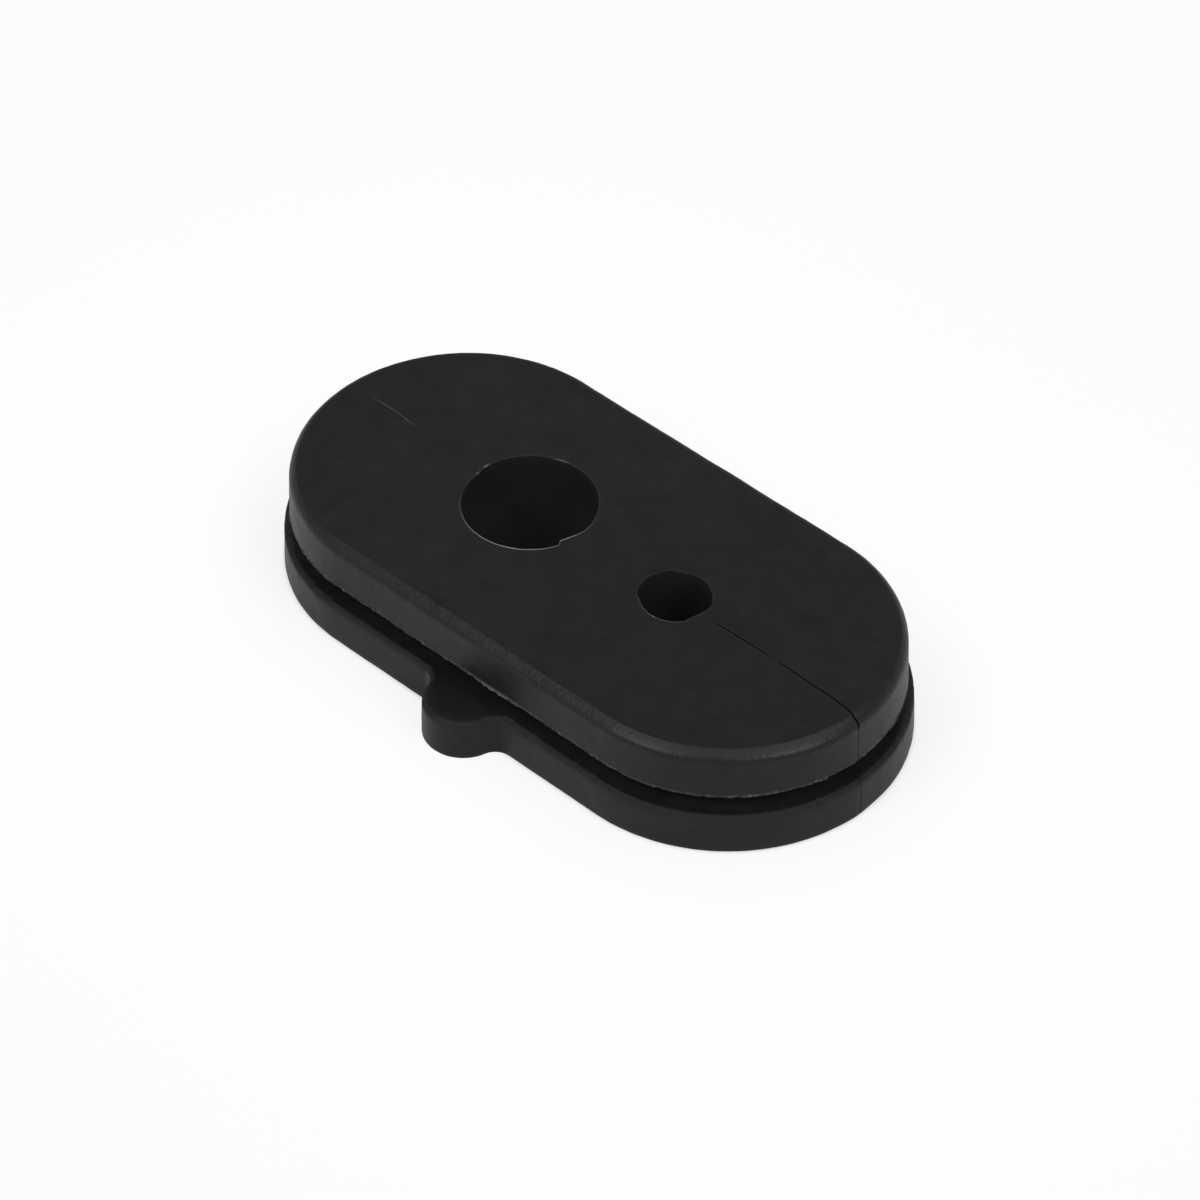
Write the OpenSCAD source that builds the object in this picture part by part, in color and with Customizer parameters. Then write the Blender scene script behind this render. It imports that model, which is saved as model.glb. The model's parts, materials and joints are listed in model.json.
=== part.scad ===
// Two-hole rubber cable grommet: a long-round plug with a flange above and below a
// groove that grips the edge of a sheet panel. It is moulded in one piece.
// The underside rests on z = 0, X runs along the length and the locating tab points to -Y.

/* [Upper flange] */
// Length of the upper flange over its round ends, at its widest
upper_l = 26; // [22:0.5:34]
// Width of the upper flange, at its widest
upper_w = 13; // [11:0.5:16]
// Thickness of the upper flange
upper_t = 1.95; // [1.4:0.05:3]
// Radius of the rounding along the upper flange's top edge
upper_edge_r = 0.45; // [0.2:0.05:0.7]

/* [Lower flange] */
// Thickness of the lower flange
lower_t = 1.65; // [1.2:0.05:3]
// How far the lower flange reaches past the upper one, all round
lower_reach = 0.2; // [0:0.05:0.8]
// Width of the bevel that breaks the lower flange's two edges
lower_edge_c = 0.1; // [0.05:0.01:0.3]
// Lean of the flanges' side walls, which lets the mould draw off upwards
wall_draft = 1.8; // [0:0.2:4]

/* [Groove] */
// Height of the groove, for the panel's thickness
groove_h = 0.8; // [0.5:0.05:2]
// Depth of the groove behind the upper flange's edge
groove_d = 1.5; // [0.8:0.1:1.8]
// Radius in the two inner corners of the groove
groove_root_r = 0.15; // [0.05:0.01:0.24]

/* [Cable bores] */
// Diameter of the large bore, for a cable housing
large_bore_d = 5; // [3:0.1:5.5]
// Diameter of the small bore, for a thin cable
small_bore_d = 2.6; // [1.5:0.1:3.6]
// Distance of the large bore's axis from the middle of the length
large_bore_offset = 3.2; // [3:0.1:3.6]
// Distance between the axes of the two bores
bore_spacing = 7.25; // [6.5:0.05:8]
// Radius of the rounding at the bores' rims
rim_r = 0.12; // [0.04:0.01:0.3]

/* [Slits] */
// Gap of the slit between the small bore and the end
small_slit_gap = 0.07; // [0.04:0.01:0.3]
// Gap of the slit between the large bore and the end, which lies closed
large_slit_gap = 0.03; // [0.02:0.01:0.3]
// How far the cut wanders to either side of the middle line
slit_wander = 0.08; // [0:0.01:0.2]

/* [Locating tab] */
// Radius of the tab's round tip
tab_r = 1.4; // [1:0.1:2.2]
// How far the tab stands out from the lower flange
tab_reach = 1.55; // [1.2:0.05:2.4]
// Radius of the inward curves where the tab leaves the flange
tab_root_r = 0.7; // [0.4:0.05:1.2]

/* [Hidden] */
$fn = 96;

// Reach of a cutter past the face it cuts through
past = 1;
// Width of the band along a flange's edge that carries the edge's section
rim_w = 0.8;

groove_z = lower_t;
upper_z = groove_z + groove_h;
total_h = upper_z + upper_t;

upper_r = upper_w / 2;
lower_r = upper_r + lower_reach;
core_r = upper_r - groove_d;
// Distance between the centres of the two round ends, the same at every level
pitch = upper_l - upper_w;

large_bore_x = -large_bore_offset;
small_bore_x = large_bore_x + bore_spacing;

// Centre of the tab's round tip, and of the inward curves beside it
tab_y = lower_r + tab_reach - tab_r;
root_y = lower_r + tab_root_r;
root_x = sqrt(pow(tab_r + tab_root_r, 2) - pow(root_y - tab_y, 2));
// Slope of the line from the tip's centre to an inward curve's centre
root_angle = atan2(root_y - tab_y, root_x);

// Outline that is straight along its sides and round at its ends
module long_round(r) {
    for (side = [-1, 1])
        translate([side * pitch / 2, 0])
            circle(r = r);
    square([pitch, 2 * r], center = true);
}

// Sections of the flanges' edge bands. x is 0 at the widest level, which is the lowest one,
// and the wall leans inwards from there.
function wall_x(z) = -z * tan(wall_draft);

module upper_edge() {
    centre_z = upper_t - upper_edge_r;
    centre_x = wall_x(centre_z) - upper_edge_r / cos(wall_draft);
    translate([0, upper_z]) {
        polygon([
            [-rim_w, 0],
            [0, 0],
            [centre_x, centre_z] + upper_edge_r * [cos(wall_draft), sin(wall_draft)],
            [centre_x, upper_t],
            [-rim_w, upper_t]
        ]);
        translate([centre_x, centre_z])
            circle(r = upper_edge_r);
    }
}

module lower_edge()
    polygon([
        [-rim_w, 0],
        [-lower_edge_c, 0],
        [wall_x(lower_edge_c), lower_edge_c],
        [wall_x(lower_t - lower_edge_c), lower_t - lower_edge_c],
        [wall_x(lower_t) - lower_edge_c, lower_t],
        [-rim_w, lower_t]
    ]);

// Edge bands: the section is the child, and the body lies on the -Y side of a straight run
module straight_run(from_x, to_x, y)
    translate([from_x, y, 0])
        rotate([90, 0, 90])
            linear_extrude(to_x - from_x)
                children();

module outward_bend(r, from_angle, to_angle)
    rotate([0, 0, from_angle])
        rotate_extrude(angle = to_angle - from_angle)
            translate([r, 0])
                children();

module inward_bend(r, from_angle, to_angle)
    rotate([0, 0, from_angle])
        rotate_extrude(angle = to_angle - from_angle)
            translate([r, 0])
                mirror([1, 0])
                    children();

module round_ends(r)
    for (side = [-1, 1])
        translate([side * pitch / 2, 0, 0])
            outward_bend(r, -90 * side, 90 * side + (side < 0 ? 360 : 0))
                children();

// Inside of a flange, which runs halfway into the edge bands round it
module flange_middle(r, height)
    linear_extrude(height)
        long_round(r - rim_w / 2);

module upper_flange() {
    translate([0, 0, upper_z])
        flange_middle(upper_r, upper_t);
    round_ends(upper_r)
        upper_edge();
    for (side = [0, 1])
        mirror([0, side, 0])
            straight_run(-pitch / 2, pitch / 2, upper_r)
                upper_edge();
}

// The tab is drawn towards +Y and mirrored onto the near side
module tab() {
    linear_extrude(lower_t)
        tab_middle();
    translate([0, tab_y, 0])
        rotate_extrude()
            tab_tip_section();
    for (side = [0, 1])
        mirror([side, 0, 0])
            translate([-root_x, root_y, 0])
                inward_bend(tab_root_r, 270, 360 - root_angle)
                    lower_edge();
}

// Outline of the tab's inside, which runs halfway into the edge bands round it
module tab_middle()
    difference() {
        polygon([
            [-root_x - rim_w, lower_r - rim_w],
            [-root_x, root_y],
            [0, tab_y + rim_w / 2],
            [root_x, root_y],
            [root_x + rim_w, lower_r - rim_w]
        ]);
        for (side = [-1, 1])
            translate([side * root_x, root_y])
                circle(r = tab_root_r + rim_w / 2);
    }

// Half section of the tip, solid to its axis
module tab_tip_section() {
    translate([tab_r, 0])
        lower_edge();
    square([tab_r - rim_w / 2, lower_t]);
}

module lower_flange() {
    flange_middle(lower_r, lower_t);
    round_ends(lower_r)
        lower_edge();
    straight_run(-pitch / 2, pitch / 2, lower_r)
        lower_edge();
    mirror([0, 1, 0]) {
        straight_run(-pitch / 2, -root_x, lower_r)
            lower_edge();
        straight_run(root_x, pitch / 2, lower_r)
            lower_edge();
        tab();
    }
}

// Core between the flanges, with the groove's inner corners rounded
module core() {
    translate([0, 0, groove_z])
        linear_extrude(groove_h)
            long_round(core_r);
    round_ends(core_r)
        groove_roots();
    for (side = [0, 1])
        mirror([0, side, 0])
            straight_run(-pitch / 2, pitch / 2, core_r)
                groove_roots();
}

// Section of the two inner corners' fillets, outwards from the core's wall
module groove_roots() {
    for (side = [0, 1])
        translate([0, side == 0 ? groove_z : upper_z])
            mirror([0, side])
                difference() {
                    square(groove_root_r);
                    translate([groove_root_r, groove_root_r])
                        circle(r = groove_root_r);
                }
}

// Cutter for a bore through the full height, flared by the rim's rounding at both faces
module bore(d) {
    translate([0, 0, -past])
        cylinder(d = d, h = total_h + 2 * past);
    for (face = [0, 1])
        translate([0, 0, face * total_h])
            mirror([0, 0, face])
                rotate_extrude()
                    translate([d / 2, 0])
                        difference() {
                            translate([-rim_r / 2, -rim_r / 2])
                                square(1.5 * rim_r);
                            translate([rim_r, rim_r])
                                circle(r = rim_r);
                        }
}

// Cutter for a slit from a bore's axis out through an end. The blade wandered a little, so
// the middle line is a shallow wave of a few straight steps.
module slit(from_x, to_x, gap) {
    steps = 8;
    middle = [
        for (i = [0:steps])
            [from_x + (to_x - from_x) * i / steps, slit_wander * sin(540 * i / steps)]
    ];
    translate([0, 0, -past])
        linear_extrude(total_h + 2 * past)
            polygon([
                for (p = middle) p + [0, gap / 2],
                for (i = [steps:-1:0]) middle[i] - [0, gap / 2]
            ]);
}

module grommet()
    color([0.055, 0.055, 0.058])
        difference() {
            union() {
                lower_flange();
                core();
                upper_flange();
            }
            translate([large_bore_x, 0, 0])
                bore(large_bore_d);
            translate([small_bore_x, 0, 0])
                bore(small_bore_d);
            slit(small_bore_x, pitch / 2 + lower_r + past, small_slit_gap);
            slit(large_bore_x, -pitch / 2 - lower_r - past, large_slit_gap);
        }

grommet();
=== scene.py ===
import json
import math
import random

import bmesh
import bpy
import numpy as np
from mathutils import Matrix, Vector, noise
from mathutils.geometry import delaunay_2d_cdt
from mathutils.kdtree import KDTree


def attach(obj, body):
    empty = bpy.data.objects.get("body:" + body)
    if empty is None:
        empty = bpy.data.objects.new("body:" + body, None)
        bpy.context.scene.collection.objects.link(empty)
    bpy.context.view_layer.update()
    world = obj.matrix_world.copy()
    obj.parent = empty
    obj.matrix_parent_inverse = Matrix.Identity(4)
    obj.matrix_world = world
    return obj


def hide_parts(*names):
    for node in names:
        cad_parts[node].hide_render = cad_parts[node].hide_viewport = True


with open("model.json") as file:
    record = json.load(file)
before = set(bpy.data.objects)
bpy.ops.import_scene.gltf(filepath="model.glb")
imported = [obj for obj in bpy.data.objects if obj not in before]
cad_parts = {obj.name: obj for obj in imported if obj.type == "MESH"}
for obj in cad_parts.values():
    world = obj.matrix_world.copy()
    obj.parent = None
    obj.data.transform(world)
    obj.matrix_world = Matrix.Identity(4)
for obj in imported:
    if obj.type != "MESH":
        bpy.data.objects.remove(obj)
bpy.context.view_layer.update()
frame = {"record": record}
scene = bpy.context.scene

# Black rubber
# Carbon-filled rubber as it leaves the mould: nearly black, matt, with a faint waxy sheen.
# It is a little paler where it is torn, cut or rubbed, and this paleness is also a painted highlight
# on the bores' rims, the flash and the closed slit. It holds a few specks of dust. Its colour is
# also scaled by painted shade and painted light in the bores, where a rim has sunk and in the groove.
DARK_RUBBER = (0.0048, 0.0048, 0.0051, 1)
HAZY_RUBBER = (0.0086, 0.0086, 0.0089, 1)
# Pale colour of torn rubber and of dust, which also paints highlights on rims, flash and the closed slit
PALE_DUST_WEAR_AND_HIGHLIGHT = (0.2, 0.2, 0.195, 1)
GRAIN_DEPTH_METRES = 0.000012


class Wire:
    """An output socket of any node tree. Arithmetic on it adds Math nodes."""

    def __init__(self, socket):
        self.socket = socket

    @staticmethod
    def node(tree, kind, settings=None, inputs=None, output=0):
        """Adds a node, sets its settings, then sets or links its inputs."""
        made = tree.nodes.new(kind)
        for name, value in (settings or {}).items():
            setattr(made, name, value)
        for name, value in (inputs or {}).items():
            if isinstance(value, Wire):
                tree.links.new(value.socket, made.inputs[name])
            else:
                made.inputs[name].default_value = value
        return Wire(made.outputs[output]) if made.outputs else None

    def out(self, name):
        """Another output of the same node."""
        return Wire(self.socket.node.outputs[name])

    def math(self, operation, *others, clamp=False):
        """A Math node with this value as its first input."""
        settings = {"operation": operation, "use_clamp": clamp}
        inputs = dict(enumerate((self, *others)))
        return Wire.node(self.socket.id_data, "ShaderNodeMath", settings, inputs)

    def __add__(self, other):
        return self.math("ADD", other)

    def __sub__(self, other):
        return self.math("SUBTRACT", other)

    def __rsub__(self, other):
        return self * -1 + other

    def __mul__(self, other):
        return self.math("MULTIPLY", other)

    def __truediv__(self, other):
        return self.math("DIVIDE", other)

    def clamped(self):
        return self.math("ADD", 0, clamp=True)

    __radd__ = __add__
    __rmul__ = __mul__


def noise_at(tree, place, scale, detail=2.0, roughness=0.5):
    """Noise whose features measure about one unit of the place's length divided by the scale."""
    inputs = {"Vector": place, "Scale": scale, "Detail": detail, "Roughness": roughness}
    return Wire.node(tree, "ShaderNodeTexNoise", None, inputs)


def mark(tree, name):
    """A value that the body's points carry."""
    return Wire.node(tree, "ShaderNodeAttribute", {"attribute_name": name}, output="Fac")


def colour_mix(tree, factor, first, second):
    inputs = {0: factor, 6: first, 7: second}
    return Wire.node(tree, "ShaderNodeMix", {"data_type": "RGBA"}, inputs, output=2)


def vector_math(tree, operation, inputs):
    return Wire.node(tree, "ShaderNodeVectorMath", {"operation": operation}, inputs)


def black_rubber():
    material = bpy.data.materials.new("black rubber")
    material.use_nodes = True
    tree = material.node_tree
    tree.nodes.clear()
    place = Wire.node(tree, "ShaderNodeTexCoord", output="Object")

    # Cloudy bloom on the surface, its fine grain, and faint lines round the walls from the mould
    bloom = noise_at(tree, place, 350, 3)
    patches = noise_at(tree, place, 1100)
    mottle = noise_at(tree, place, 2400)
    pits = noise_at(tree, place, 7000, roughness=0.6)
    grain = noise_at(tree, place, 16000, roughness=0.6)
    round_about = vector_math(tree, "MULTIPLY", {0: place, 1: (0.15, 0.15, 2.0)})
    drawn = noise_at(tree, round_about, 4000)
    cell = {"Vector": place, "Scale": 1100}
    to_speck = Wire.node(tree, "ShaderNodeTexVoronoi", None, cell, output="Distance")
    dusty = ((noise_at(tree, place, 700, 0) - 0.6) * 12).clamped()
    speck = ((0.055 - to_speck) * 60).clamped() * dusty

    haze = ((bloom - 0.4) * 1.2 + (patches - 0.5) * 1.6 + (mottle - 0.5) * 0.9 + 0.4).clamped()
    clouded = colour_mix(tree, haze, DARK_RUBBER, HAZY_RUBBER)
    # Painted shade and painted light scale the colour, darker at bore mouths, paler deep in bores and
    # groove
    painted_shading_colour = vector_math(tree, "SCALE", {0: clouded, "Scale": mark(tree, "tone")})
    # Pale where edges are torn or rubbed, and on rims, flash and the closed slit also a painted highlight
    torn = ((mark(tree, "edge") * 1.25 + grain * 0.9 - 1.1) * 4).clamped()
    pale = (speck * 0.05 + torn * mark(tree, "wear") * (0.5 + mottle)).clamped()
    relief = grain * 0.25 + mottle * 0.5 + patches * 0.6 + drawn * 0.5 + speck * 0.8
    relief = relief + mark(tree, "rough") * pits * 3.0
    bump = {"Strength": 0.5, "Distance": GRAIN_DEPTH_METRES, "Height": relief}
    inputs = {
        "Base Color": colour_mix(tree, pale, painted_shading_colour, PALE_DUST_WEAR_AND_HIGHLIGHT),
        "Roughness": 0.27 + bloom * 0.08 + patches * 0.06 + mottle * 0.05 + mark(tree, "matt") * 0.45,
        "Specular IOR Level": 0.2,
        "Normal": Wire.node(tree, "ShaderNodeBump", None, bump),
    }
    shader = Wire.node(tree, "ShaderNodeBsdfPrincipled", None, inputs)
    Wire.node(tree, "ShaderNodeOutputMaterial", None, {"Surface": shader})
    return material


rubber = black_rubber()

# Grommet body
# One rubber moulding: an upper flange, the core behind the groove and a lower flange with a
# locating tab. Each wall is carried round its outline, and the flat faces are filled between.
# All of it is worked out in millimetres and turned into metres at the end.
MM = 0.001
HEIGHT = 4.4
GROOVE_FLOOR = 1.65
GROOVE_CEILING = 2.45
PITCH = 13.0
UPPER_R = 6.5
CORE_R = 5.0
LOWER_R = 6.78
DRAFT = math.radians(1.8)
BORE_DRAFT = math.radians(2)
UPRIGHT = math.pi / 2

# Roundings of the edges, and the slope at which the worn top rounding begins in a soft crease
TOP_EDGE_R = 0.58
TOP_EDGE_START = math.radians(62)
FLASH_EDGE_R = 0.03
FLASH_REACH = 0.075
GROOVE_ROOT_R = 0.15
LOWER_TOP_EDGE_R = 0.2
LOWER_FOOT_EDGE_R = 0.1
BORE_TOP_EDGE_R = 0.03
BORE_FOOT_EDGE_R = 0.04

TAB_R = 1.52
TAB_X = 0.1
TAB_Y = -6.88
TAB_ROOT_R = 0.7
SLIT_GAP = 0.07
# Half the distance between the runs of points along the closed slit
CREASE = 0.02
# Distance between the stations along an outline
STEP = 0.065

mounts = {mount["name"]: mount for mount in frame["record"]["mounts"]}
large_x = mounts["large_bore"]["pos_m"][0] / MM
large_r = mounts["large_bore"]["dims"]["r_mm"]
small_x = mounts["small_bore"]["pos_m"][0] / MM
small_r = mounts["small_bore"]["dims"]["r_mm"]


def arc(centre, radius, start, end, step, hollow=False):
    """Stations along an arc, each a point and the direction out of the rubber there."""
    count = max(2, round(abs(math.radians(end - start)) * radius / step))
    stations = []
    for angle in np.radians(np.linspace(start, end, count, endpoint=False)):
        way = np.array([math.cos(angle), math.sin(angle)])
        stations.append((np.array(centre) + radius * way, -way if hollow else way))
    return stations


def straight(start, end, way, step):
    count = max(1, round(math.dist(start, end) / step))
    return [
        (np.array(start) + (np.array(end) - np.array(start)) * i / count, np.array(way))
        for i in range(count)
    ]


def round_end_far(radius, step):
    """The far round end, with three close stations where the closed slit comes out."""
    lip = math.degrees(CREASE / radius)
    centre = (-PITCH / 2, 0)
    return (
        arc(centre, radius, 90, 180 - lip, step)
        + arc(centre, radius, 180 - lip, 180 + lip, CREASE)
        + arc(centre, radius, 180 + lip, 270, step)
    )


def open_at_slit(stations, end_x, way):
    """Starts and ends the run of stations on the two lips of the slit."""
    first = (np.array([end_x, SLIT_GAP / 2]), way)
    last = (np.array([end_x, -SLIT_GAP / 2]), way)
    return [first] + stations[1:] + [last]


def long_round(radius, step, near_side=None):
    """Stations round an outline with straight sides and round ends, from lip to lip."""
    half = PITCH / 2
    stations = (
        arc((half, 0), radius, 0, 90, step)
        + straight((half, radius), (-half, radius), (0, 1), step)
        + round_end_far(radius, step)
        + (near_side or straight((-half, -radius), (half, -radius), (0, -1), step))
        + arc((half, 0), radius, 270, 360, step)
    )
    return open_at_slit(stations, half + radius, np.array([1.0, 0.0]))


def side_with_tab(radius, step):
    """The near side, which turns out and in again round the tab."""
    half = PITCH / 2
    root_y = -radius - TAB_ROOT_R
    root_x = math.sqrt((TAB_R + TAB_ROOT_R) ** 2 - (root_y - TAB_Y) ** 2)
    left_x = TAB_X - root_x
    right_x = TAB_X + root_x
    lean = math.degrees(math.atan2(TAB_Y - root_y, root_x))
    return (
        straight((-half, -radius), (left_x, -radius), (0, -1), step)
        + arc((left_x, root_y), TAB_ROOT_R, 90, lean, step / 2, hollow=True)
        + arc((TAB_X, TAB_Y), TAB_R, 180 + lean, 360 - lean, step)
        + arc((right_x, root_y), TAB_ROOT_R, 180 - lean, 90, step / 2, hollow=True)
        + straight((right_x, -radius), (half, -radius), (0, -1), step)
    )


def wall_tree():
    """Carries the section of a moulded wall along stations: a rounded top edge, a leaning wall
    and a rounded bottom edge, with ragged flash on the bottom edge where it has any."""
    tree = bpy.data.node_groups.new("moulded wall", "GeometryNodeTree")
    lengths = ("Top", "Bottom", "Top edge radius", "Bottom edge radius", "Flash")
    angles = ("Top edge start", "Lean")
    tree.interface.new_socket("Stations", in_out="INPUT", socket_type="NodeSocketGeometry")
    for name in (*lengths, *angles, "Side"):
        tree.interface.new_socket(name, in_out="INPUT", socket_type="NodeSocketFloat")
    for name in ("Top edge steps", "Wall steps", "Bottom edge steps"):
        tree.interface.new_socket(name, in_out="INPUT", socket_type="NodeSocketInt")
    tree.interface.new_socket("Rubber", in_out="INPUT", socket_type="NodeSocketMaterial")
    tree.interface.new_socket("Wall", in_out="OUTPUT", socket_type="NodeSocketGeometry")
    given = Wire.node(tree, "NodeGroupInput")
    side = given.out("Side")
    lean = given.out("Lean")
    bottom = given.out("Bottom")
    top_steps = given.out("Top edge steps")
    wall_steps = given.out("Wall steps")
    bottom_steps = given.out("Bottom edge steps")

    # A grid with a line of points for each station, and a point in it for each row down the wall
    across = top_steps + wall_steps + bottom_steps + 1
    size = {"component": "MESH"}
    along = Wire.node(tree, "GeometryNodeAttributeDomainSize", size, {"Geometry": given}, "Point Count")
    grid = Wire.node(tree, "GeometryNodeMeshGrid", None, {"Vertices X": along, "Vertices Y": across})
    index = Wire.node(tree, "GeometryNodeInputIndex")
    station = ((index + 0.5) / across).math("FLOOR")
    row = index - station * across

    def at_station(field):
        settings = {"data_type": "FLOAT_VECTOR", "domain": "POINT"}
        inputs = {"Geometry": given, "Value": field, "Index": station}
        return Wire.node(tree, "GeometryNodeSampleIndex", settings, inputs)

    vector = {"data_type": "FLOAT_VECTOR"}
    point = at_station(Wire.node(tree, "GeometryNodeInputPosition"))
    outward = at_station(Wire.node(tree, "GeometryNodeInputNamedAttribute", vector, {"Name": "outward"}))

    def edge(centre_up, radius, turn):
        """Place on an edge's arc, out and up, at an angle above the level."""
        inwards = (bottom - centre_up) * lean.math("TANGENT")
        centre_out = side * (inwards - radius / lean.math("COSINE"))
        return centre_out + side * radius * turn.math("COSINE"), centre_up + radius * turn.math("SINE")

    top_part = (row / top_steps).clamped()
    wall_part = ((row - top_steps) / wall_steps).clamped()
    bottom_part = ((row - top_steps - wall_steps) / bottom_steps).clamped()
    start = given.out("Top edge start")
    top_turn = (1 - top_part) * start + top_part * lean
    bottom_turn = (1 - bottom_part) * lean - bottom_part * UPRIGHT
    top_radius = given.out("Top edge radius")
    bottom_radius = given.out("Bottom edge radius")
    top_out, top_up = edge(given.out("Top") - top_radius * start.math("SINE"), top_radius, top_turn)
    bottom_out, bottom_up = edge(bottom + bottom_radius, bottom_radius, bottom_turn)

    # The flash stands out where the mould's halves met, in torn tatters of uneven length
    coarse = noise_at(tree, point, 0.7, 1.0)
    fine = noise_at(tree, point, 5.0)
    tatters = ((coarse - 0.3) * 2.2).clamped() * (0.2 + ((fine - 0.42) * 5).clamped())
    fin = bottom_part * (1 - bottom_part) * 4
    reach = given.out("Flash") * tatters * fin

    out = top_out * (1 - wall_part) + bottom_out * wall_part + reach
    up = top_up * (1 - wall_part) + bottom_up * wall_part
    sideways = vector_math(tree, "SCALE", {0: outward, "Scale": out})
    upwards = Wire.node(tree, "ShaderNodeCombineXYZ", None, {"Z": up})
    moved = vector_math(tree, "ADD", {0: point, 1: sideways})
    place = vector_math(tree, "ADD", {0: moved, 1: upwards})
    shaped = Wire.node(tree, "GeometryNodeSetPosition", None, {"Geometry": grid, "Position": place})
    real = Wire.node(tree, "GeometryNodeRealizeInstances", None, {"Geometry": shaped})
    covered = {"Geometry": real, "Material": given.out("Rubber")}
    wall = Wire.node(tree, "GeometryNodeSetMaterial", None, covered)
    Wire.node(tree, "NodeGroupOutput", None, {"Wall": wall})
    return tree


moulded_wall = wall_tree()
parts = []


def swept_wall(stations, **sizes):
    """Makes a wall and gives its points, by station and by row from the top edge down."""
    path = bpy.data.meshes.new("stations")
    path.from_pydata([(*point, 0) for point, way in stations], [], [])
    outward = path.attributes.new("outward", "FLOAT_VECTOR", "POINT")
    outward.data.foreach_set("vector", np.array([(*way, 0) for point, way in stations]).ravel())
    holder = bpy.data.objects.new("wall", path)
    scene.collection.objects.link(holder)
    modifier = holder.modifiers.new("wall", "NODES")
    modifier.node_group = moulded_wall
    values = {name.replace("_", " ").capitalize(): value for name, value in sizes.items()}
    values["Rubber"] = rubber
    for item in moulded_wall.interface.items_tree:
        if item.name in values:
            modifier[item.identifier] = values[item.name]
    shaped = holder.evaluated_get(bpy.context.evaluated_depsgraph_get())
    wall = bpy.data.meshes.new_from_object(shaped)
    bpy.data.objects.remove(holder)
    parts.append(wall)
    points = np.empty(len(wall.vertices) * 3)
    wall.vertices.foreach_get("co", points)
    return points.reshape(len(stations), -1, 3)


upper = swept_wall(
    long_round(UPPER_R, STEP), side=1.0, lean=DRAFT, top=HEIGHT, bottom=GROOVE_CEILING,
    top_edge_radius=TOP_EDGE_R, top_edge_start=TOP_EDGE_START, bottom_edge_radius=FLASH_EDGE_R,
    flash=FLASH_REACH, top_edge_steps=9, wall_steps=7, bottom_edge_steps=4,
)
core = swept_wall(
    long_round(CORE_R, 2 * STEP), side=-1.0, lean=0.0, top=GROOVE_CEILING, bottom=GROOVE_FLOOR,
    top_edge_radius=GROOVE_ROOT_R, top_edge_start=UPRIGHT, bottom_edge_radius=GROOVE_ROOT_R,
    flash=0.0, top_edge_steps=4, wall_steps=2, bottom_edge_steps=4,
)
LOWER_STEP = 1.1 * STEP
lower = swept_wall(
    long_round(LOWER_R, LOWER_STEP, side_with_tab(LOWER_R, LOWER_STEP)), side=1.0, lean=DRAFT,
    top=GROOVE_FLOOR, bottom=0.0, top_edge_radius=LOWER_TOP_EDGE_R, top_edge_start=UPRIGHT,
    bottom_edge_radius=LOWER_FOOT_EDGE_R, flash=0.0, top_edge_steps=6, wall_steps=7, bottom_edge_steps=4,
)


def bore_wall(stations):
    return swept_wall(
        stations, side=1.0, lean=BORE_DRAFT, top=HEIGHT, bottom=0.0,
        top_edge_radius=BORE_TOP_EDGE_R, top_edge_start=UPRIGHT, bottom_edge_radius=BORE_FOOT_EDGE_R,
        flash=0.0, top_edge_steps=2, wall_steps=14, bottom_edge_steps=2,
    )


# The bores narrow downwards, so their stations lie on the smaller circle at the foot
foot_taper = HEIGHT * math.tan(BORE_DRAFT)
large_ring = arc((large_x, 0), large_r - foot_taper, 0, 360, STEP, hollow=True)
large = bore_wall(large_ring + large_ring[:1])
small_ring = arc((small_x, 0), small_r - foot_taper, 0, 360, STEP, hollow=True)
small = bore_wall(open_at_slit(small_ring, small_x + small_r - foot_taper, np.array([-1.0, 0.0])))


def inside(points, loops):
    """Even-odd test, so that a loop within another one is a hole."""
    odd = np.zeros(len(points), bool)
    batch = 2000
    for loop in loops:
        ahead = np.roll(loop, -1, axis=0)
        for start in range(0, len(points), batch):
            x, y = points[start:start + batch].T[:, :, None]
            crosses = (loop[:, 1] > y) != (ahead[:, 1] > y)
            rise = np.where(ahead[:, 1] == loop[:, 1], 1, ahead[:, 1] - loop[:, 1])
            meets = loop[:, 0] + (y - loop[:, 1]) * (ahead[:, 0] - loop[:, 0]) / rise
            odd[start:start + batch] ^= (crosses & (x < meets)).sum(axis=1) % 2 == 1
    return odd


def lattice(low, high, step):
    """Points of a triangular lattice over a rectangle."""
    rows = np.arange(low[1] + step / 3, high[1], step * 0.866)
    columns = np.arange(low[0] + step / 3, high[0], step)
    return np.array([
        (x + (step / 2 if i % 2 else 0), y) for i, y in enumerate(rows) for x in columns
    ])


def flat_fill(loops, bands, lines=()):
    """Triangles between closed loops on a plane. A band is a spacing and the range of distances
    from the nearest border over which it holds. Lines are open runs that the triangles follow."""
    points = [point for run in (*loops, *lines) for point in run]
    regions = []
    edges = []
    start = 0
    for loop in loops:
        turns = np.cross(loop, np.roll(loop, -1, axis=0)).sum()
        region = list(range(start, start + len(loop)))
        regions.append(region if turns > 0 else region[::-1])
        start += len(loop)
    for line in lines:
        edges += [(start + i, start + i + 1) for i in range(len(line) - 1)]
        start += len(line)
    border = KDTree(len(points))
    for i, point in enumerate(points):
        border.insert((*point, 0), i)
    border.balance()
    low = np.min(points, axis=0)
    high = np.max(points, axis=0)
    for step, nearest, farthest in bands:
        spots = lattice(low, high, step)
        spots = spots[inside(spots, loops)]
        points += [
            spot for spot in spots if nearest < border.find((*spot, 0))[2] <= farthest
        ]
    flat = [Vector(point) for point in points]
    corners, _, faces, _, _, homes = delaunay_2d_cdt(flat, edges, regions, 0, 1e-6)
    kept = [face for face, home in zip(faces, homes) if list(home) == [0]]
    return np.array(corners), np.array(kept)


def add_part(points, faces):
    part = bpy.data.meshes.new("flat face")
    part.from_pydata(points.tolist(), [], faces.tolist())
    parts.append(part)


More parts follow.
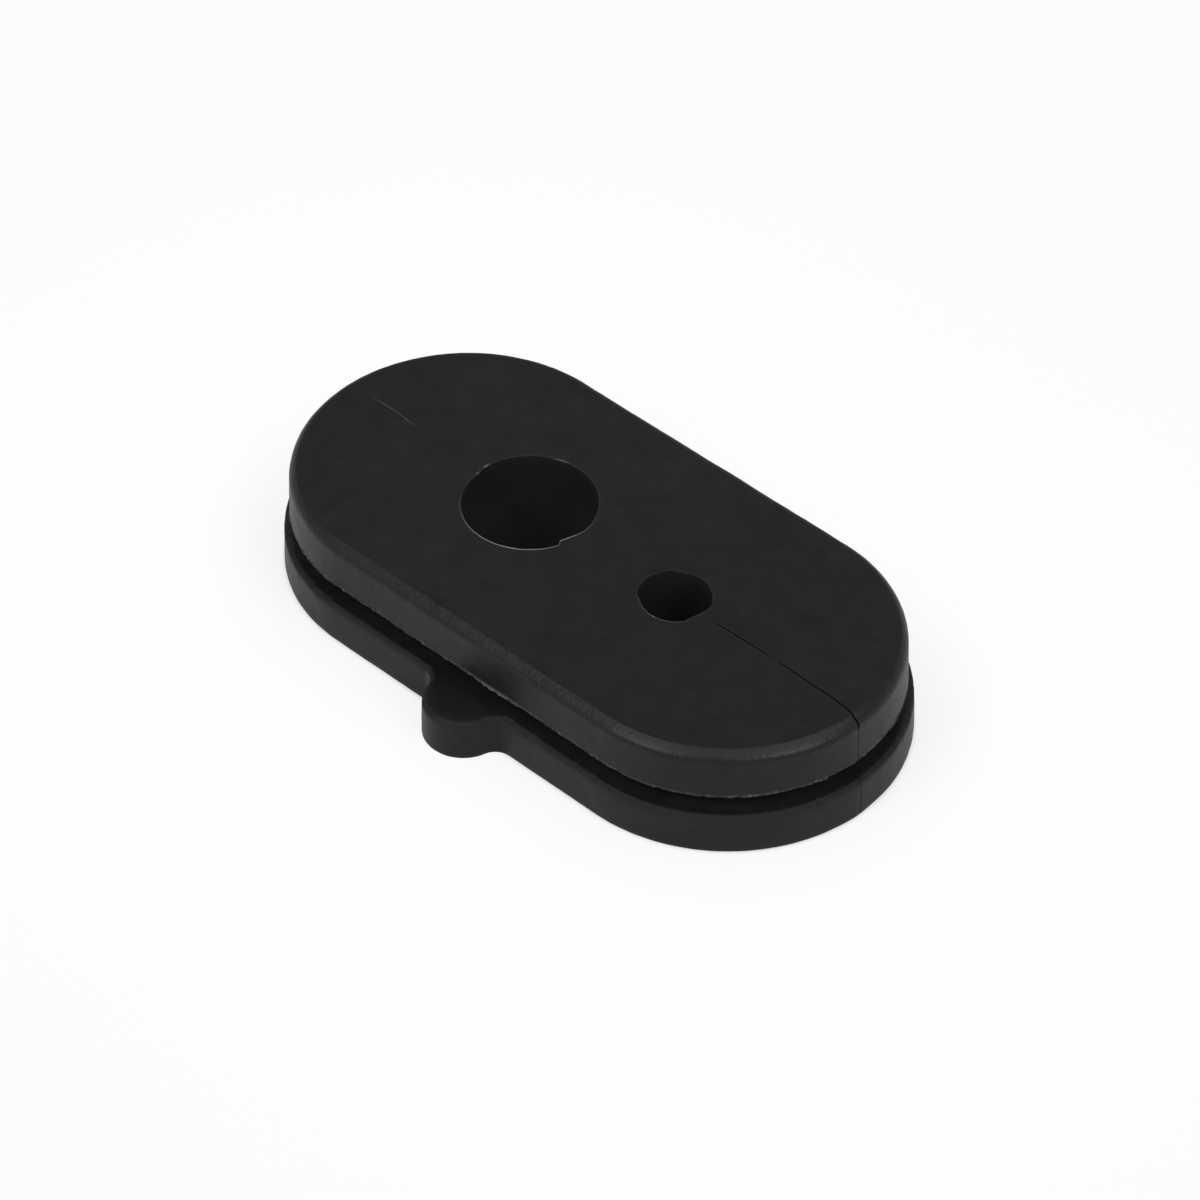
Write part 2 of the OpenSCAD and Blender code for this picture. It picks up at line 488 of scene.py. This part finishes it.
def add_flat(height, loops, bands, lines=()):
    points, faces = flat_fill(loops, bands, lines)
    add_part(np.column_stack([points, np.full(len(points), height)]), faces)


def lip_run(from_x, to_x, y):
    """Points along one lip of the slit, or down it, without the run's two ends."""
    spacing = 0.12
    count = round(abs(to_x - from_x) / spacing)
    return np.array([(from_x + (to_x - from_x) * i / count, y) for i in range(1, count)])


def slit_loop(outer, inner):
    """One closed loop: round the outer outline, in along a lip, round the inner and out again."""
    return np.vstack([
        outer, lip_run(outer[-1, 0], inner[-1, 0], -SLIT_GAP / 2),
        inner[::-1], lip_run(inner[0, 0], outer[0, 0], SLIT_GAP / 2),
    ])


def crease_lines(from_x, to_x):
    """Three close runs of points along the closed slit."""
    spacing = 0.1
    xs = np.linspace(from_x, to_x, round(abs(to_x - from_x) / spacing) + 1)[1:-1]
    return [np.array([(x, y) for x in xs]) for y in (-CREASE, 0, CREASE)]


BEAD_ROWS = (0.055, 0.08, 0.105, 0.13, 0.16)
BEAD_POINTS_PER_RADIUS = 110


def bead_lines(x, radius):
    """Close rings of points round a bore's mouth, which carry the raised bead there."""
    angles = np.radians(np.linspace(4, 356, round(BEAD_POINTS_PER_RADIUS * radius)))
    ways = [(math.cos(a), math.sin(a)) for a in angles]
    return [np.array([(x + (radius + out) * c, (radius + out) * s) for c, s in ways]) for out in BEAD_ROWS]


# Top, underside and the two faces of the groove. The spacing widens away from the borders.
FLAT_BANDS = [(0.1, 0.06, 0.3), (0.2, 0.3, 0.75), (0.45, 0.8, 99)]
GROOVE_BANDS = [(0.14, 0.08, 0.4), (0.3, 0.45, 99)]
top_rim = upper[:, 0, :2]
large_rim = large[:-1, 0, :2]
top_lines = (
    crease_lines(top_rim[:, 0].min(), large_rim[:, 0].min() - 0.2)
    + bead_lines(large_x, large_r) + bead_lines(small_x, small_r)
)
add_flat(HEIGHT, [slit_loop(top_rim, small[:, 0, :2]), large_rim], FLAT_BANDS, top_lines)
foot_rim = lower[:, -1, :2]
large_foot = large[:-1, -1, :2]
foot_lines = crease_lines(foot_rim[:, 0].min(), large_foot[:, 0].min())
add_flat(0, [slit_loop(foot_rim, small[:, -1, :2]), large_foot], FLAT_BANDS[1:], foot_lines)
add_flat(GROOVE_CEILING, [slit_loop(upper[:, -1, :2], core[:, 0, :2])], GROOVE_BANDS[1:])
add_flat(GROOVE_FLOOR, [slit_loop(lower[:, 0, :2], core[:, -1, :2])], GROOVE_BANDS)

# Faces of the slit, which follow the edges of everything that the knife cut through
SLIT_BANDS = [(0.3, 0.12, 99)]
for station, lip_y in ((0, SLIT_GAP / 2), (-1, -SLIT_GAP / 2)):
    bore_run, upper_run, core_run, lower_run = (
        wall[station][:, ::2] for wall in (small, upper, core, lower)
    )
    lip = np.vstack([
        bore_run[::-1],
        lip_run(bore_run[0, 0], upper_run[0, 0], HEIGHT),
        upper_run,
        lip_run(upper_run[-1, 0], core_run[0, 0], GROOVE_CEILING),
        core_run,
        lip_run(core_run[-1, 0], lower_run[0, 0], GROOVE_FLOOR),
        lower_run,
        lip_run(lower_run[-1, 0], bore_run[-1, 0], 0),
    ])
    cut_points, cut_faces = flat_fill([lip], SLIT_BANDS)
    across = np.full(len(cut_points), lip_y)
    add_part(np.column_stack([cut_points[:, 0], across, cut_points[:, 1]]), cut_faces)


def ease(value, start, end):
    """0 at start, 1 at end and a smooth change between, whichever of them is the larger."""
    t = np.clip((value - start) / (end - start), 0, 1)
    return t * t * (3 - 2 * t)


def hump(value, middle, width):
    return np.exp(-((value - middle) / width) ** 2)


class Skin:
    """The body's points as they are moved, where each lay at first, and the marks that they carry:
    wear is how pale the rubber is where it is torn, and partly a painted highlight on rims, flash and
    the closed slit; edge is 1 on such an edge; tone is painted shade and painted light that scale the
    rubber's colour; matt takes off its sheen and rough raises its grain."""

    def __init__(self, points):
        self.points = points
        self.x, self.y, self.z = points.T.copy()
        beyond = np.maximum(np.abs(self.x) - PITCH / 2, 0)
        self.out = np.hypot(beyond, self.y)
        past_end = np.where(beyond > 0, self.x - np.sign(self.x) * PITCH / 2, 0)
        way = np.column_stack([past_end, self.y, 0 * self.z])
        self.way = way / np.maximum(np.linalg.norm(way, axis=1), 0.01)[:, None]
        self.places = [Vector(point) for point in points]
        self.quick = np.array([noise.noise(place * 2.3) for place in self.places])
        self.wear = np.zeros(len(points))
        self.edge = np.zeros(len(points))
        self.tone = np.ones(len(points))
        self.matt = np.zeros(len(points))
        self.rough = np.zeros(len(points))

    def move_out(self, distance):
        self.points += self.way * distance[:, None]


def uneven_walls(skin):
    """Slow and quick unevenness of moulded rubber, and a fine grain on the upper walls."""
    # Without a seed, noise_vector gives other values in each run
    noise.seed_set(1)
    slow = np.array([noise.noise_vector(place * 0.55) for place in skin.places])
    skin.points += slow * np.array([0.018, 0.018, 0.0]) * ease(skin.z, 0.1, 0.6)[:, None]
    on_wall = ease(skin.out, 5.9, 6.3)
    skin.move_out(-(skin.quick + 0.5) * 0.008 * on_wall)
    grainy = on_wall * ease(skin.z, 3.5, 3.9)
    fine = np.array([noise.noise(place * 5) if grain else 0 for place, grain in zip(skin.places, grainy)])
    skin.move_out(-fine * grainy * 0.005)
    skin.rough = on_wall * ease(skin.z, 3.6, 3.95) * (1 - 0.8 * ease(skin.z, 4.38, 4.4))


def worn_rounding(skin):
    """The rounding is worn wider where hands meet it, on the tab's side and the near end."""
    facing = ease(skin.way @ np.array([0.69, -0.72, 0]), 0.45, 0.9)
    at_crease = np.exp(-((UPPER_R - 0.35 - skin.out) / 0.45) ** 2) * (skin.out < UPPER_R)
    skin.move_out(-0.14 * facing * ease(skin.z, 4.1, 4.39) * at_crease)


# A bore's mouth as it was pressed, torn and rubbed, where the rubbed paleness is partly a painted
# highlight. Each hump has its height, its angle round the bore in degrees and its width. Moves and
# beads are in millimetres.
RIM_ANGLE = (-150, -130, -100, -80, -62, -48, -35, -25, -20, -15, -5, 6, 20)
RIM_RUBBED_AND_HIGHLIGHT = (0, 0.05, 0.35, 0.7, 0.9, 0.7, 0.6, 0.35, 0.2, 0.7, 0.5, 0.15, 0)


def small_mouth(around):
    """A flap is pressed in beside the slit, and the far side is torn wider and has sunk."""
    flap = ease(around, -38, -17) * (1 - ease(around, -4, 16))
    torn = ease(np.abs(around), 128, 143)
    move = -0.11 * flap + 0.115 * torn - 0.04 * hump(around, 117, 9) - 0.04 * hump(around, 62, 6)
    move += 0.05 * hump(around, 25, 9)
    bead = 0.002 + 0.01 * hump(around, -80, 35)
    # Pale round the near rim, partly as a painted highlight
    rubbed_and_highlight = 0.02 + 0.1 * hump(around, -80, 42) + 0.4 * hump(around, -85, 3)
    return move, bead, rubbed_and_highlight, 0.1 * hump(around, 160, 34)


def large_mouth(around):
    """A small flap stands into the near side, the far side is wider and the near rim is worn pale, which
    is partly a painted highlight.
    """
    flap = ease(around, -21.5, -17.5) * (1 - ease(around, -17.5, 13)) * 1.15
    move = -0.17 * flap - 0.02 * hump(around, 112, 3)
    move += 0.09 * hump(around, 133, 60) - 0.03 * hump(around, -50, 60)
    bead = 0.002 + 0.012 * hump(around, -60, 40) + 0.006 * flap
    rubbed_and_highlight = 0.03 + np.interp(around, RIM_ANGLE, RIM_RUBBED_AND_HIGHLIGHT) + 0.5 * hump(around, 174, 2.5)
    rubbed_and_highlight += 0.3 * hump(around, -175, 1.5) + 0.25 * hump(around, 107, 5)
    return move, bead, rubbed_and_highlight, 0 * around


# Painted shade at the bores' mouths and painted light deeper down, as factors on the colour of their
# walls, from the mouth, at 0, down to the foot, at 1
PAINTED_SHADING_DEPTH = (0, 0.16, 0.34, 0.5, 0.64, 0.75, 0.82, 1)
LARGE_BORE_PAINTED_SHADING = (0.35, 0.34, 0.7, 1.15, 1.35, 1.5, 1.62, 2)
SMALL_BORE_PAINTED_SHADING = (0.6, 0.35, 0.8, 1.9, 3, 3.2, 3.4, 3.4)


def used_bore(skin, centre_x, radius, mouth_marks, bore_painted_shading):
    z = skin.z
    around = np.degrees(np.arctan2(skin.y, skin.x - centre_x))
    away = np.hypot(skin.x - centre_x, skin.y)
    move, bead, rubbed_and_highlight, fallen = mouth_marks(around)

    # A fine bead stands up round the mouth, which is rubbed pale in places, partly as a painted highlight
    on_top = z > HEIGHT - 0.01
    ring = np.exp(-((away - radius - 0.09) / 0.03) ** 2) * on_top
    skin.points[:, 2] += bead * (0.6 + 1.2 * np.clip(skin.quick + 0.3, 0, 1)) * ring
    mouth = on_top & (away < radius + 0.12)
    skin.edge[mouth] = (1 - ease(away, radius + 0.05, radius + 0.1))[mouth]
    skin.wear[mouth] = rubbed_and_highlight[mouth]

    # The wall is matt, with painted shade towards the mouth and painted light deeper down, and the place
    # where the rim has sunk is lowered, matt and has painted shade
    within = (away < radius + 0.001) & (z < HEIGHT - 0.02)
    depth = np.clip(1 - z / HEIGHT, 0, 1)
    skin.tone[within] = np.interp(depth, PAINTED_SHADING_DEPTH, bore_painted_shading)[within]
    skin.matt[within] = 1
    sunk = fallen * np.exp(-(np.maximum(away - radius, 0) / 0.2) ** 2)
    skin.points[:, 2] -= 0.3 * sunk * ease(z, 4.2, 4.39)
    outside = away > radius - 0.01
    # Painted shade where the rim has sunk
    skin.tone[outside] -= 6 * sunk[outside]
    skin.matt[outside] += 7 * sunk[outside]

    # The rim is pressed in or torn wider, and is never quite round
    near_rim = np.exp(-((away - radius) / 0.32) ** 2) * ease(z, 3.2, 4.35)
    near_rim = np.where(away < radius + 1.2, near_rim, 0)
    ragged = 0.012 * skin.quick * (away < radius + 0.3)
    shift = (move + ragged) * near_rim / np.maximum(away, 0.3)
    skin.points[:, 0] += shift * (skin.x - centre_x)
    skin.points[:, 1] += shift * skin.y


# Middle line of the open slit
SLIT_X = (5.3, 6.2, 8.7, 10.2, 11.6, 12.35, 12.75, 13.3)
SLIT_Y = (-0.08, -0.055, 0.0, -0.035, -0.085, -0.12, -0.235, -0.245)


def knife_slit(skin):
    """The open slit wanders as the knife did, and its gap closes in places."""
    x, y, z = skin.x, skin.y, skin.z
    from_bore = ease(x, 4.7, 5.4)
    wander = np.interp(x, SLIT_X, SLIT_Y) - 0.09 * ease(z, 2.4, 1.7) * ease(x, 11.5, 12.8)
    wander += 0.035 * np.array([noise.noise(Vector((a * 2.0, 3.0, c * 0.5))) for a, c in zip(x, z)])
    on_lip = (np.abs(y) < SLIT_GAP / 2 + 0.001) & (x > small_x)
    tight = 0.1 + 0.7 * hump(x, 8.75, 0.25) + 0.65 * (1 - ease(x, 5.6, 6.5)) - 0.25 * ease(x, 9.5, 11)
    tight += 0.3 * skin.quick
    tight += 0.7 * ease(z, 4.1, 3.7) + 0.05
    skin.matt[on_lip] = 0.7 * ease(z, 4.3, 4.39)[on_lip]
    skin.points[:, 1] -= np.where(on_lip, y * np.clip(tight, 0, 0.92), 0)
    rolled = from_bore * np.exp(-np.maximum(np.abs(y) - SLIT_GAP / 2, 0) / 0.06) * ease(z, 4.3, 4.4)
    skin.points[:, 2] -= 0.004 * rolled
    skin.points[:, 1] += wander * from_bore * np.exp(-(y / 0.7) ** 2)


# Middle line of the closed slit
CREASE_X = (-13.2, -12.3, -11.8, -10.8, -10.0, -9.0, -8.0, -5.7)
CREASE_Y = (0.03, 0.1, 0.17, 0.24, 0.21, 0.08, 0.03, 0.1)


def closed_slit(skin):
    """The lips of the closed slit meet in a thin line, raised and pale over part of its length; the
    paleness is partly a painted highlight.
    """
    x, y = skin.x, skin.y
    far_side = 1 - ease(x, -5.8, -5.3)
    line = np.exp(-(y / 0.012) ** 2) * far_side
    shown = ease(x, -12.4, -10.9) * (1 - ease(x, -9.6, -8.9)) * ease(skin.z, 4.3, 4.4)
    skin.points[:, 2] += line * 0.014 * shown
    skin.points[:, 0] += line * 0.02 * (1 - ease(x, -12.9, -12.4))
    skin.points[:, 1] += np.interp(x, CREASE_X, CREASE_Y) * (far_side * np.exp(-(y / 0.9) ** 2))
    skin.edge = np.maximum(skin.edge, line * shown)
    skin.wear += 0.28 * line * shown


def torn_flash(skin):
    """The flash is torn paler along the parting line and hangs in burrs, most of all by the tab. The
    paleness is partly a painted highlight.
    """
    z = skin.z
    flash = (z > GROOVE_CEILING - 0.01) & (z < GROOVE_CEILING + 0.04) & (skin.out > UPPER_R - 0.06)
    fine = np.array([noise.noise(Vector(point) * 8) for point in skin.points[flash]])
    burr = (hump(skin.x, 1.4, 1.2) * (skin.y < -6))[flash]
    uneven = np.clip(0.6 + 1.6 * skin.quick[flash], 0.2, 1.5)
    skin.edge[flash] = 1
    skin.wear[flash] = 0.04 + 0.2 * np.clip(fine + 0.25, 0, 1) * uneven + 0.22 * burr
    at_foot = z[flash] < GROOVE_CEILING + 0.02
    skin.points[flash, 2] -= (0.05 * np.clip(fine, 0, 1) + 0.03 * burr) * at_foot


def groove_and_lower_edge(skin):
    """The groove has painted light, paler towards the core, and the lower flange's upper edge is matt
    and nicked all along.
    """
    z = skin.z
    in_groove = (z > GROOVE_FLOOR - 0.01) & (z < GROOVE_CEILING + 0.01) & (skin.out > CORE_R - 0.1)
    # Painted light, paler deeper in the groove
    skin.tone[in_groove] += (0.9 * (1 - ease(skin.out, 6.1, 6.5)))[in_groove]
    matt_edge = (z > GROOVE_FLOOR - 0.3) & (z < GROOVE_FLOOR - 0.002) & (skin.out > 6.2)
    skin.matt[matt_edge] = (0.85 * hump(z, GROOVE_FLOOR - 0.06, 0.1))[matt_edge]
    on_edge = np.flatnonzero((np.abs(z - (GROOVE_FLOOR - 0.05)) < 0.25) & (skin.out > 6.3))
    inwards = skin.way[on_edge] + np.array([0, 0, 0.8])
    chance = random.Random(5)
    nicks = 170
    for _ in range(nicks):
        middle = skin.points[chance.choice(on_edge)] + np.array([0, 0, chance.uniform(-0.03, 0.08)])
        width = chance.uniform(0.05, 0.09)
        depth = chance.uniform(0.01, 0.055)
        gap = np.linalg.norm(skin.points[on_edge] - middle, axis=1)
        skin.points[on_edge] -= (depth * np.exp(-(gap / width) ** 2))[:, None] * inwards


def shape_by_hand(points):
    """Moves the body's points to what the mould, the knife and use left, and gives their marks."""
    skin = Skin(points)
    uneven_walls(skin)
    worn_rounding(skin)
    used_bore(skin, small_x, small_r, small_mouth, SMALL_BORE_PAINTED_SHADING)
    used_bore(skin, large_x, large_r, large_mouth, LARGE_BORE_PAINTED_SHADING)
    knife_slit(skin)
    closed_slit(skin)
    torn_flash(skin)
    groove_and_lower_edge(skin)
    tone = np.maximum(skin.tone, 0.3)
    matt = np.clip(skin.matt, 0, 1)
    return {"wear": skin.wear, "edge": skin.edge, "tone": tone, "matt": matt, "rough": skin.rough}


# The walls and flat faces are joined into one closed mesh, then shaped
WELD_DISTANCE = 0.002
SHARP_ANGLE = math.radians(38)
shell = bmesh.new()
for part in parts:
    shell.from_mesh(part)
    bpy.data.meshes.remove(part)
bmesh.ops.remove_doubles(shell, verts=shell.verts, dist=WELD_DISTANCE)
bmesh.ops.recalc_face_normals(shell, faces=shell.faces)
body_mesh = bpy.data.meshes.new("grommet body")
shell.to_mesh(body_mesh)
shell.free()
points = np.empty(len(body_mesh.vertices) * 3)
body_mesh.vertices.foreach_get("co", points)
points = points.reshape(-1, 3)
marks = shape_by_hand(points)
points *= MM
body_mesh.vertices.foreach_set("co", points.ravel())
for name, values in marks.items():
    body_mesh.attributes.new(name, "FLOAT", "POINT").data.foreach_set("value", values)
body_mesh.materials.append(rubber)
for face in body_mesh.polygons:
    face.use_smooth = True
body_mesh.set_sharp_from_angle(angle=SHARP_ANGLE)
body_mesh.update()
body = bpy.data.objects.new("grommet_body", body_mesh)
scene.collection.objects.link(body)
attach(body, "root")
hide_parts("grommet")

# Table and studio
# A white table top in a pale studio with a dimmer ceiling. To the camera the table glows white, so
# that no more light falls on the rubber, but near the grommet it is plainly lit and keeps the shadow.
# Two softboxes stand at the sides and three hang overhead.
TABLE_GAP = 0.01 * MM
floor_mesh = bpy.data.meshes.new("floor")
floor_mesh.from_pydata([(-1, -1, 0), (1, -1, 0), (1, 1, 0), (-1, 1, 0)], [], [(0, 1, 2, 3)])
floor_mesh.transform(Matrix.Translation((0, 0, -TABLE_GAP)))
floor = bpy.data.objects.new("floor", floor_mesh)
scene.collection.objects.link(floor)

WHITE = (1, 1, 1, 1)
NEAR_TABLE = (0.7, 0.7, 0.7, 1)
FAR_TABLE = (0.45, 0.45, 0.45, 1)


def seen_ray(tree, in_gloss=1.0):
    """1 for a ray from the camera, in_gloss through gloss or glass, and 0 for one that lights."""
    path = Wire.node(tree, "ShaderNodeLightPath")
    mirrored = (path.out("Is Glossy Ray") + path.out("Is Transmission Ray")).clamped()
    return (path.out("Is Camera Ray") + mirrored * in_gloss).clamped()


def white_table():
    material = bpy.data.materials.new("white table")
    material.use_nodes = True
    tree = material.node_tree
    tree.nodes.clear()
    place = Wire.node(tree, "ShaderNodeTexCoord", output="Object")
    x = Wire.node(tree, "ShaderNodeSeparateXYZ", None, {"Vector": place})
    y = x.out("Y")
    beyond = (x.math("ABSOLUTE") - PITCH / 2 * MM).math("MAXIMUM", 0)
    away = (beyond * beyond + y * y).math("SQRT") - UPPER_R * MM
    close = (away / (0.4 * MM)).clamped()
    clear = (away / (3.5 * MM)).clamped()
    far_off = ((away - 8 * MM) / (16 * MM)).clamped()
    colour = colour_mix(tree, far_off, NEAR_TABLE, FAR_TABLE)
    lit = Wire.node(tree, "ShaderNodeBsdfDiffuse", None, {"Color": colour})
    white = Wire.node(tree, "ShaderNodeEmission", None, {"Color": WHITE, "Strength": 1.0})
    glow = seen_ray(tree, 0.1) * (close * 0.8 + clear * 0.15)
    mixed = Wire.node(tree, "ShaderNodeMixShader", None, {0: glow, 1: lit, 2: white})
    Wire.node(tree, "ShaderNodeOutputMaterial", None, {"Surface": mixed})
    return material


floor_mesh.materials.append(white_table())

# The surround is white where it is seen, and dimmer for the rays that light the rubber
SURROUND_LEVEL = 0.58
CEILING_LEVEL = 0.45
world = bpy.data.worlds.new("white surround")
world.use_nodes = True
scene.world = world
surround = world.node_tree
surround.nodes.clear()
way = Wire.node(surround, "ShaderNodeTexCoord", output="Generated")
rise = Wire.node(surround, "ShaderNodeSeparateXYZ", None, {"Vector": way}).out("Z")
ceiling = ((rise - 0.05) / 0.35).clamped()
walls = seen_ray(surround) * (1 - SURROUND_LEVEL) + SURROUND_LEVEL
level = walls * (1 - ceiling * (1 - CEILING_LEVEL))
backdrop = Wire.node(surround, "ShaderNodeBackground", None, {"Color": WHITE, "Strength": level})
Wire.node(surround, "ShaderNodeOutputWorld", None, {"Surface": backdrop})


def softbox(name, azimuth, elevation, distance, width, height, watts):
    """A lamp that faces the grommet. Its azimuth is measured from +X towards +Y."""
    lamp = bpy.data.lights.new(name, "AREA")
    lamp.shape = "RECTANGLE"
    lamp.size = width
    lamp.size_y = height
    lamp.energy = watts
    holder = bpy.data.objects.new(name, lamp)
    turn = math.radians(azimuth)
    rise = math.radians(elevation)
    way = Vector((math.cos(turn) * math.cos(rise), math.sin(turn) * math.cos(rise), math.sin(rise)))
    holder.location = way * distance
    holder.rotation_euler = way.to_track_quat("Z", "Y").to_euler()
    holder.visible_camera = False
    scene.collection.objects.link(holder)


softbox("left softbox", azimuth=-98, elevation=36, distance=0.45, width=0.2, height=0.3, watts=0.93)
softbox("right softbox", azimuth=-7, elevation=36, distance=0.45, width=0.2, height=0.3, watts=1.0)
softbox("overhead softbox", azimuth=-46, elevation=72, distance=0.5, width=0.3, height=0.3, watts=0.22)
softbox("left upper softbox", azimuth=-122, elevation=62, distance=0.5, width=0.25, height=0.25, watts=0.42)
softbox("right upper softbox", azimuth=30, elevation=62, distance=0.5, width=0.25, height=0.25, watts=0.42)

# Camera
# It looks at the grommet as the photograph does, from a fit of its outline and bores.
AZIMUTH = math.radians(43.58)
ELEVATION = math.radians(42.84)
ROLL = math.radians(-0.13)
DISTANCE = 195.13 * MM
FOCAL_PIXELS = 5397.9
PICTURE_PIXELS = 1200
# The picture's middle lies this far right of and below a point at this height over the origin
AIM_RIGHT = 0.221
AIM_BELOW = 0.998
AIM_HEIGHT = 3
flat = math.cos(ELEVATION)
back = Vector((math.sin(AZIMUTH) * flat, -math.cos(AZIMUTH) * flat, math.sin(ELEVATION)))
level_right = Vector((math.cos(AZIMUTH), math.sin(AZIMUTH), 0))
level_up = back.cross(level_right)
aim = (level_right * AIM_RIGHT - level_up * AIM_BELOW + Vector((0, 0, AIM_HEIGHT))) * MM
right = level_right * math.cos(ROLL) + level_up * math.sin(ROLL)
up = level_up * math.cos(ROLL) - level_right * math.sin(ROLL)
lens = bpy.data.cameras.new("photo camera")
lens.sensor_width = 36
lens.lens = FOCAL_PIXELS / PICTURE_PIXELS * lens.sensor_width
lens.clip_start = 0.01
camera = bpy.data.objects.new("photo camera", lens)
turned = Matrix((right, up, back)).transposed().to_4x4()
camera.matrix_world = Matrix.Translation(aim + back * DISTANCE) @ turned
scene.collection.objects.link(camera)
scene.camera = camera
scene.view_settings.view_transform = "Standard"
